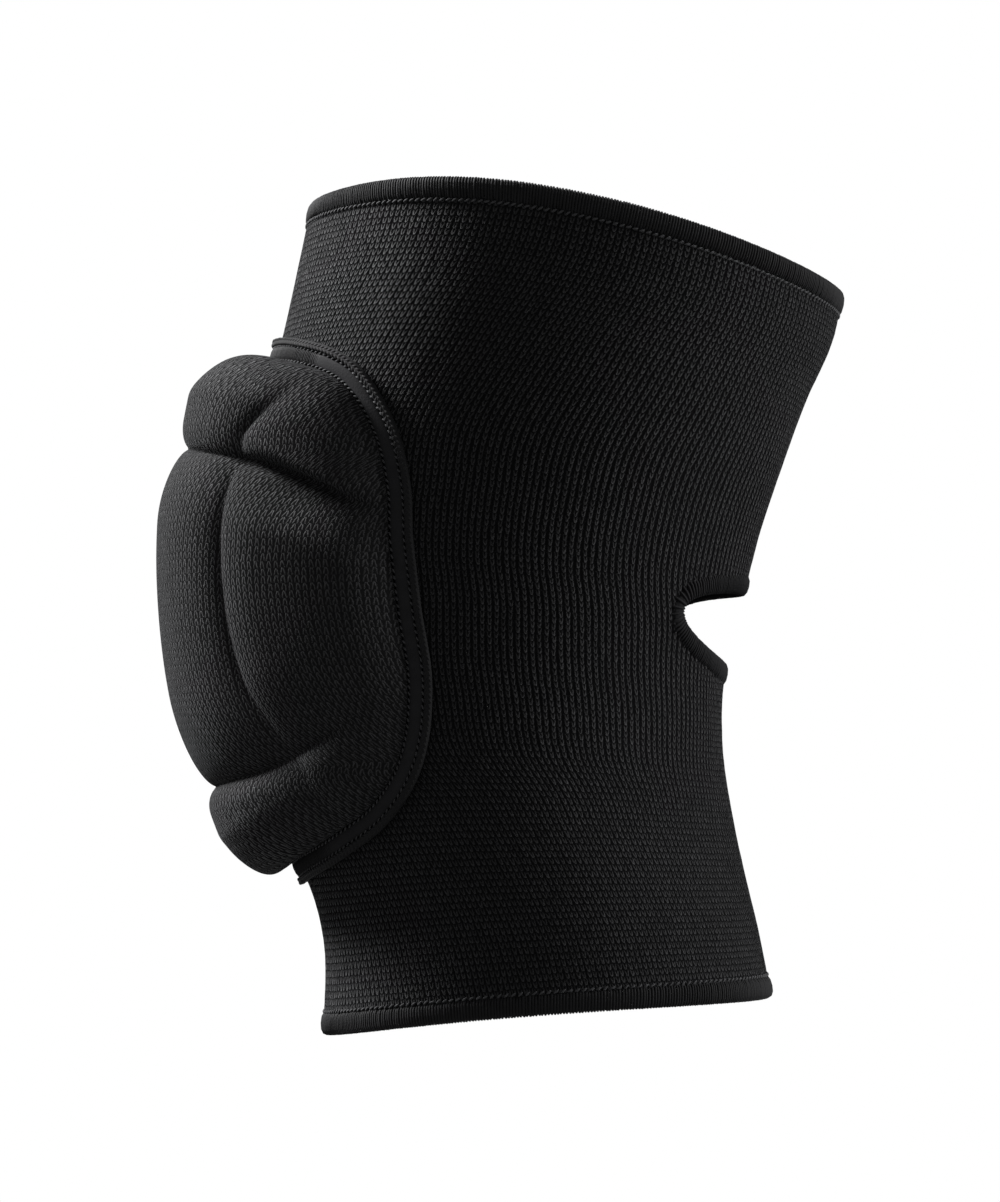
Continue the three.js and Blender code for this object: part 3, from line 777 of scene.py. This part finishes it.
def pad_height(around, up, reach):
    """How far the cover stands off the sleeve. reach is 0 at the pad's middle, 1 at its rim."""
    wrap = np.minimum(np.abs(around) / PAD_HALF_WRAP, 1.2)
    level = (up - PAD_LEVEL) * FRONT_HEIGHT / PAD_HALF_HEIGHT
    upper, lower = (curve(ROW_GROOVES, "wrap", side, wrap) for side in ("upper", "lower"))
    groove = curve(COLUMN_GROOVES, "level", "wrap", level)
    arc = length(directions(around, up)[0]) * PAD_HALF_WRAP
    in_upper, in_lower = level > upper, level < lower
    middle = ~in_upper & ~in_lower
    faded = smooth((level - FADE_FROM) / (FADE_TO - FADE_FROM))
    beside = np.where(wrap < groove, CENTRE_SHOULDER, SIDE_SHOULDER)
    in_side = np.clip((wrap - HOLLOW_FROM) / (HOLLOW_TO - HOLLOW_FROM), 0, 1)
    from_upper = np.abs(level - upper) * PAD_HALF_HEIGHT
    below = blend(round_rise(from_upper, MIDDLE_TOP), smooth(from_upper / HOLLOW), in_side)
    above = round_rise(from_upper, blend(UPPER_ROW, UPPER_ROW_SIDE, in_side))
    rounding = (
        (1 - (1 - round_rise(np.abs(wrap - groove) * arc, beside)) * (1 - faded) * COLUMN_DEPTH)
        * np.where(middle, below, above)
        * round_rise(np.abs(level - lower) * PAD_HALF_HEIGHT, np.where(middle, MIDDLE_BOTTOM, LOWER_ROW))
    )
    rows = [curve(CROWNS, "level", row, level) for row in ("upper", "lower", "middle")]
    crown = np.select([in_upper, in_lower], rows[:2], rows[2]) * curve(THINNING, "wrap", "crown", wrap)
    upper_floor, lower_floor = (curve(THINNING, "wrap", f"{row}_floor", wrap) for row in ("upper", "lower"))
    floor = blend(lower_floor, upper_floor, np.clip((level - FLOOR_FROM) / (FLOOR_TO - FLOOR_FROM), 0, 1))
    low = np.minimum(floor, crown)
    rim = blend(SIDE_EDGE, np.where(level > 0, TOP_EDGE, BOTTOM_EDGE), np.minimum(level**4, 1))
    full = PAD_THICKNESS * (low + (crown - low) * rounding)
    return GAP + PAD_LIP + (full - PAD_LIP) * round_rise((1 - reach) * PAD_HALF_HEIGHT, rim)


# %% [markdown]
# ## The cover
# The cover is a second knit, stretched over the lobes. Under each upper side lobe it is caught in
# a sharp fold, which the mesh gets as a narrow furrow. Its stitches keep their size over the
# bulges, so they are counted along the foam's real surface and not along the leg. Toward the
# top and bottom the columns of stitches swerve in with the pad's narrowing ends.

# %% The fold and the stitches
PAD_STITCH = 2.05 * MM
PAD_SWERVE, SWERVE_FROM = 22 * MM, 45 * MM
FOLD_DEPTH, FOLD_WIDTH, FOLD_BELOW = 2.4 * MM, 1.5 * MM, 0.9 * MM
FOLD_FROM, FOLD_TO, FOLD_FADE = 0.34, 0.84, 0.14
STITCH_GRID = 260


def side_fold(around, level):
    """How deep the cover is folded in just under the upper side lobe."""
    wrap = np.abs(around) / PAD_HALF_WRAP
    below = (curve(ROW_GROOVES, "wrap", "upper", wrap) - level) * PAD_HALF_HEIGHT - FOLD_BELOW
    share = smooth((wrap - FOLD_FROM) / FOLD_FADE) * smooth((FOLD_TO - wrap) / FOLD_FADE)
    return FOLD_DEPTH * share * np.exp(-((below / FOLD_WIDTH) ** 2))


def pad_stitches(around, up, level):
    """Stitch numbers on the foam, counted along its bulging surface from the pad's middle."""
    angles = np.linspace(0, PAD_HALF_WRAP * 1.15, STITCH_GRID)
    levels = np.linspace(0.12, 0.9, STITCH_GRID)
    angle, height_at = np.meshgrid(angles, levels)
    skin = outside(angle, height_at, pad_height(angle, height_at, np.full_like(angle, 0.5)))
    steps = [length(np.diff(skin, axis=1)), length(np.diff(skin, axis=0))]
    across = np.pad(np.cumsum(steps[0], axis=1), ((0, 0), (1, 0)))
    along = np.pad(np.cumsum(steps[1], axis=0), ((1, 0), (0, 0)))
    along = along - along[np.searchsorted(levels, PAD_LEVEL)][None]
    last = STITCH_GRID - 1.01
    i = np.clip((up - levels[0]) / (levels[1] - levels[0]), 0, last)
    j = np.clip(np.abs(around) / angles[1], 0, last)
    row, column = i.astype(int), j.astype(int)
    across, along = (blend(blend(grid[row, column], grid[row, column + 1], j - column),
                           blend(grid[row + 1, column], grid[row + 1, column + 1], j - column), i - row)
                     for grid in (across, along))
    swerve = PAD_SWERVE * level**2 * np.minimum(across / SWERVE_FROM, 1)
    return np.sign(around) * (across - swerve) / PAD_STITCH, along / PAD_STITCH


# %% The pad's mesh
TOP_RINGS, BACK_RINGS, CROWDED = 150, 12, 1.25
HUMP_PEAK = 4 / 27  # the top of x (1 - x)^2


def make_pad():
    start = CORD + BAND_WIDTH + 2 * GAP
    line_around, line_up = pad_edge.places(np.full((1, 1), start))
    line_around, line_up = line_around[:, 0], line_up[:, 0]
    share = 1 - (1 - np.linspace(0, 1, TOP_RINGS)) ** CROWDED
    reach = share[::-1, None]
    around, up = line_around[None] * reach, blend(PAD_LEVEL, line_up[None], reach)
    level = (up - PAD_LEVEL) * FRONT_HEIGHT / PAD_HALF_HEIGHT
    inwards = np.clip((1 - reach) * PAD_HALF_HEIGHT / OVERHANG_REACH, 0, 1)
    hump = inwards * (1 - inwards) ** 2 / HUMP_PEAK
    pushed = reach + PAD_OVERHANG / PAD_HALF_HEIGHT * hump * np.minimum(level**8, 1)
    moved_around, moved_up = line_around[None] * pushed, blend(PAD_LEVEL, line_up[None], pushed)
    height = pad_height(around, up, np.broadcast_to(reach, around.shape)) - side_fold(around, level)
    top = outside(moved_around, moved_up, height)
    back_share = np.linspace(0, 1, BACK_RINGS)[:, None]
    back = outside(line_around[None] * back_share, blend(PAD_LEVEL, line_up[None], back_share), GAP)
    rings = np.concatenate([back, top])
    quads = strip_faces(len(rings), PAD_COLUMNS)
    u, v = pad_stitches(around, up, level)
    behind = np.zeros((BACK_RINGS, PAD_COLUMNS))
    uv = np.stack([np.concatenate([behind, u]), np.concatenate([behind, v])], -1).reshape(-1, 2)
    return new_mesh("foam_pad", rings.reshape(-1, 3), quads, uv[quads])


pad = dress(make_pad(), pad_knit, "pad_knit", "knee_pad")

# %% [markdown]
# ## Threads wound over an edge
# An overlocked edge is a row of thread loops, one beside the other, each going over the edge
# and back through the cloth. A repeated texture would look flat at the rims, where the threads
# make the outline, so every loop is a real little tube. All loops of one hem are one mesh,
# filled from arrays: a ring of points for the thread's way round the edge, and a few points
# round the thread at each of them. A quiet random lean keeps the row from looking machined.

# %% A row of thread loops
def over_edge(width, low, high, count, squash=0.8):
    """The way round a bound edge, as distances across it and out of it."""
    t = np.arange(count) / count * TURN
    c, s = np.cos(t), np.sin(t)
    across = width / 2 * (1 - np.sign(c) * np.abs(c) ** squash)
    out = (low + high) / 2 + (high - low) / 2 * np.sign(s) * np.abs(s) ** squash
    return across, out


def wound_thread(edge, width, low, high, thread, seed, bends=12, sides=5, lean=0.35, sink=0.0):
    """Points and faces of one closed loop of thread at each place of an edge."""
    count = len(edge.around)
    across, out = over_edge(width, low, high, bends)
    pick = np.random.default_rng(seed)
    stretch = 1 + pick.normal(0, 0.03, (count, 1))
    tilt = lean * edge.length / count * (across / width - 0.5)[None]
    tilt = tilt + pick.normal(0, 0.05 * MM, (count, 1))
    way = edge.points(across[None] * stretch, out[None] - sink) + edge.along[:, None] * tilt[..., None]
    forward = unit(np.roll(way, -1, axis=1) - np.roll(way, 1, axis=1))
    beside = unit(np.broadcast_to(edge.along[:, None], way.shape)
                  - forward * np.sum(forward * edge.along[:, None], axis=-1, keepdims=True))
    outwards = np.cross(forward, beside)
    t = np.arange(sides) / sides * TURN
    radius = thread / 2 * (1 + pick.normal(0, 0.06, (count, 1, 1, 1)))
    ring = (beside[:, :, None] * np.cos(t)[None, None, :, None]
            + outwards[:, :, None] * np.sin(t)[None, None, :, None])
    points = way[:, :, None] + ring * radius
    one = strip_faces(bends, sides, close_rows=True)
    faces = one[None] + (np.arange(count) * bends * sides)[:, None, None]
    return points.reshape(-1, 3), faces.reshape(-1, 4)


def core(edge, width, low, high, bends=12):
    """The bound cloth under the threads: one tube along the edge."""
    across, out = over_edge(width, low, high, bends)
    points = edge.points(across[None], out[None])
    return points.reshape(-1, 3), strip_faces(len(edge.around), bends, close_rows=True)


def joined(*parts):
    """Several meshes as one list of points and one of faces."""
    starts = np.cumsum([0] + [len(points) for points, _ in parts[:-1]])
    return (np.concatenate([points for points, _ in parts]),
            np.concatenate([faces + start for (_, faces), start in zip(parts, starts)]))


# %% [markdown]
# ## The chain stitch beside a hem
# Along the inner side of each hem runs a fine line of loops where the needle thread holds the
# overlock down. They show as small light dots. Each is a grain of thread, longer than wide and
# a little turned, so that together they read as a chain.

# %% A chain of small stitches
def chain(edge, across, out, pitch, size, seed, slant=0.5):
    """Grains of thread along an edge, as points and faces. size is length, width and height."""
    count = int(edge.length / pitch)
    at = np.arange(count) / count * len(edge.around)
    whole, part = at.astype(int), (at % 1)[:, None]
    after = (whole + 1) % len(edge.around)
    line = edge.points(np.full((1, 1), across), np.full((1, 1), out))[:, 0]
    centre = blend(line[whole], line[after], part)
    around, up = edge.places(np.full((1, 1), across))
    normal = directions(around[whole, 0], up[whole, 0])[2]
    along = edge.along[whole]
    side = np.cross(normal, along)
    turned = slant + np.random.default_rng(seed).normal(0, 0.12, (count, 1))
    long_way = along * np.cos(turned) + side * np.sin(turned)
    short_way = np.cross(normal, long_way)
    rings, sides = 5, 6
    theta = np.linspace(0.12, np.pi - 0.12, rings)
    phi = np.arange(sides) / sides * TURN
    local = np.stack([
        np.broadcast_to(np.cos(theta)[:, None], (rings, sides)) * size[0] / 2,
        np.sin(theta)[:, None] * np.cos(phi)[None] * size[1] / 2,
        np.sin(theta)[:, None] * np.sin(phi)[None] * size[2] / 2,
    ], -1).reshape(-1, 3)
    points = (centre[:, None] + local[None, :, :1] * long_way[:, None]
              + local[None, :, 1:2] * short_way[:, None] + local[None, :, 2:] * normal[:, None])
    one = strip_faces(rings, sides)
    faces = one[None] + (np.arange(count) * rings * sides)[:, None, None]
    return points.reshape(-1, 3), faces.reshape(-1, 4)


# %% The hems at the thigh and the calf
THREAD, THREAD_PITCH = 0.8 * MM, 0.84 * MM
CHAIN_CLEAR, CHAIN_PITCH, CHAIN_GRAIN = 0.45 * MM, 1.9 * MM, (1.7 * MM, 0.6 * MM, 0.6 * MM)


def end_edge(side):
    """The tube's rim: side 0 is the calf's and 1 the thigh's."""
    fine, level = np.linspace(0, TURN, 1440, endpoint=False), np.full(1440, float(side))
    _, _, run = evenly(fine, level, 1440)
    around, up, _ = evenly(fine, level, int(run / THREAD_PITCH))
    return Edge(around, up, inwards=-1 if side else 1)


def make_hem(name, edge, width, node_name, seed, thread=hem_thread, chained=True):
    """One bound edge: the cloth inside, the threads wound over it, and the chain beside it."""
    low, high = HEM_PROUD - HEM_THICK, HEM_PROUD
    inset = THREAD * 0.45
    body = core(edge, width - 2 * inset, low + inset, high - inset)
    threads = wound_thread(edge, width, low + inset, high - inset, THREAD, seed)
    parts = [body, threads]
    if chained:
        parts.append(chain(edge, width + CHAIN_CLEAR, 0.2 * MM, CHAIN_PITCH, CHAIN_GRAIN, seed + 1))
    hem = new_mesh(name, *joined(*parts))
    dress(hem, thread, "hem_thread", node_name)
    if chained:
        accent(hem, needle_thread, len(body[1]) + len(threads[1]))
    return hem


thigh_edge, calf_edge = end_edge(1), end_edge(0)
print("thigh rim", round(thigh_edge.length * 1000), "mm, calf rim", round(calf_edge.length * 1000), "mm")
thigh_hem = make_hem("thigh_hem", thigh_edge, HEM_HEIGHT, "top_hem", 11)
calf_hem = make_hem("calf_hem", calf_edge, HEM_HEIGHT, "bottom_hem", 21)

# %% The hem of the hole
hole_places = evenly(*hole_line(), int(hole_round / THREAD_PITCH))
hole_edge = Edge(hole_places[0], hole_places[1], inwards=-1)
hole_hem = make_hem("hole_hem", hole_edge, HOLE_HEM, "back_hole_hem", 31, shaded_hole_thread, chained=False)

# %% [markdown]
# ## The seam round the pad
# Round the pad lies a flat knitted tape, and outside it the cover's raw edge is rolled into a
# soft ridge. Where the seam crosses the front it is bound with open threads, which sink into
# the tape at both ends of that stretch. A row of stitches lies in the furrow between tape and
# ridge, and another one where the foam begins.

# %% Tape, ridge and stitches
BOUND_FRONT, BOUND_FADE = np.radians(40), np.radians(16)
TAPE_THREAD, TAPE_PITCH = 0.55 * MM, 0.75 * MM
TAPE_BENDS, TAPE_SIDES = 10, 5


def part_of(threads, chosen, each):
    """The loops of thread that are chosen, with their faces numbered anew."""
    points, faces = threads
    total = len(chosen)
    points = points.reshape(total, each, 3)[chosen].reshape(-1, 3)
    faces = faces.reshape(total, -1, 4)[0]
    return points, (faces[None] + (np.arange(chosen.sum()) * each)[:, None, None]).reshape(-1, 4)


def make_tape():
    around, up, _ = evenly(*pad_line(), int(pad_round / TAPE_PITCH))
    line = Edge(around, up)
    edge = Edge(*(values[:, 0] for values in line.places(np.full((1, 1), CORD + GAP))))
    body = core(edge, BAND_WIDTH, GAP, GAP + BAND_THICK - 0.3 * MM, bends=20)
    sunk = 0.45 * MM * (1 - np.clip((BOUND_FRONT - np.abs(around)) / BOUND_FADE, 0, 1) ** 0.5)
    threads = wound_thread(edge, BAND_WIDTH, GAP + 0.2 * MM, GAP + BAND_THICK - 0.15 * MM,
                           TAPE_THREAD, 41, TAPE_BENDS, TAPE_SIDES, sink=sunk[:, None])
    bound = part_of(threads, np.abs(around) < BOUND_FRONT, TAPE_BENDS * TAPE_SIDES)
    tape = new_mesh("pad_tape", *joined(body, bound))
    dress(tape, tape_cloth, "hem_thread", "pad_seam_band")
    accent(tape, hem_thread, len(body[1]))
    return tape


def make_ridge():
    body = core(pad_edge, CORD, GAP, GAP + CORD - 0.2 * MM)
    loops = [chain(pad_edge, CORD * share, GAP + CORD * (0.95 - 0.5 * abs(share - 0.5)), 1.5 * MM,
                   (1.7 * MM, 0.8 * MM, 0.6 * MM), 60 + k, slant)
             for k, (share, slant) in enumerate(((0.3, 0.45), (0.72, -0.45)))]
    furrow = chain(pad_edge, CORD + GAP / 2, GAP + 1.3 * MM, 1.9 * MM, (1.5 * MM, 0.6 * MM, 0.6 * MM), 51)
    foot = chain(pad_edge, CORD + BAND_WIDTH + 0.8 * GAP, GAP + 1.3 * MM, 1.9 * MM,
                 (1.4 * MM, 0.6 * MM, 0.6 * MM), 52)
    ridge = new_mesh("pad_ridge", *joined(body, *loops, furrow, foot))
    dress(ridge, hem_thread, "hem_thread", "pad_seam_cord")
    accent(ridge, needle_thread, len(body[1]) + sum(len(faces) for _, faces in loops))
    return ridge


tape, ridge = make_tape(), make_ridge()

# %% [markdown]
# ## What is cloth and what is foam
# The sleeve is a sheet of stretch knit pulled over a leg, and the pad is filled tight. A sleeve
# of this size lies flat at about 0.40 by 0.21 m when it is cut open along its back.

# %% [markdown]
# ## Floor, light and camera
# The picture is a product shot on white: even white light from everywhere, a stronger soft lamp
# that stands in front of the knee, high and toward the far side, and a weaker one behind that
# draws the back edge. With black cloth the lamps matter more than the colour, because only the
# light that grazes the lobes tells their shape. The camera looks at the side from 1.6 m, a little
# below the knee, so the thigh's rim arches and the calf's rim is almost a straight line.

# %% The floor and the white room
floor_size, floor_level = 60.0, -0.34
floor_mesh = bpy.data.meshes.new("floor")
half = floor_size / 2
floor_mesh.from_pydata([(-half, -half, floor_level), (half, -half, floor_level),
                        (half, half, floor_level), (-half, half, floor_level)], [], [(0, 1, 2, 3)])
floor = bpy.data.objects.new("floor", floor_mesh)
bpy.context.scene.collection.objects.link(floor)
floor_paint, floor_tree = new_material("white floor")
glow = node(floor_tree, "ShaderNodeEmission", Color=(1, 1, 1, 1), Strength=1.0)
node(floor_tree, "ShaderNodeOutputMaterial", Surface=glow)
floor_mesh.materials.append(floor_paint)

room = bpy.data.worlds.new("white room")
room.use_nodes = True
room.node_tree.nodes["Background"].inputs["Color"].default_value = (1, 1, 1, 1)
room.node_tree.nodes["Background"].inputs["Strength"].default_value = 1.0
bpy.context.scene.world = room
bpy.context.scene.view_settings.view_transform = "Standard"


# %% The lamps
def soft_lamp(name, place, aim, size, watts):
    lamp = bpy.data.lights.new(name, "AREA")
    lamp.shape, lamp.size, lamp.energy = "SQUARE", size, watts
    holder = bpy.data.objects.new(name, lamp)
    bpy.context.scene.collection.objects.link(holder)
    holder.location = place
    holder.rotation_euler = (Vector(aim) - Vector(place)).to_track_quat("-Z", "Y").to_euler()
    return holder


soft_lamp("front light", (-0.36, -1.15, 1.02), (0, -0.05, 0.02), 0.45, 272)
soft_lamp("back edge light", (0.0, 1.45, 0.45), (0, 0.05, 0), 0.5, 75)

# %% The camera
VIEW_HEIGHT, DISTANCE, LENS_LEVEL = 336.6 * MM, 1.6, -40 * MM
AIM = Vector((0, 0, 5.3 * MM))
eye = bpy.data.cameras.new("camera")
eye.sensor_width = 36
eye.lens = 36 * DISTANCE / VIEW_HEIGHT
camera = bpy.data.objects.new("camera", eye)
bpy.context.scene.collection.objects.link(camera)
camera.location = (DISTANCE, 0, LENS_LEVEL)
camera.rotation_euler = (AIM - camera.location).to_track_quat("-Z", "Y").to_euler()
bpy.context.scene.camera = camera
print("lens", round(eye.lens, 1), "mm")
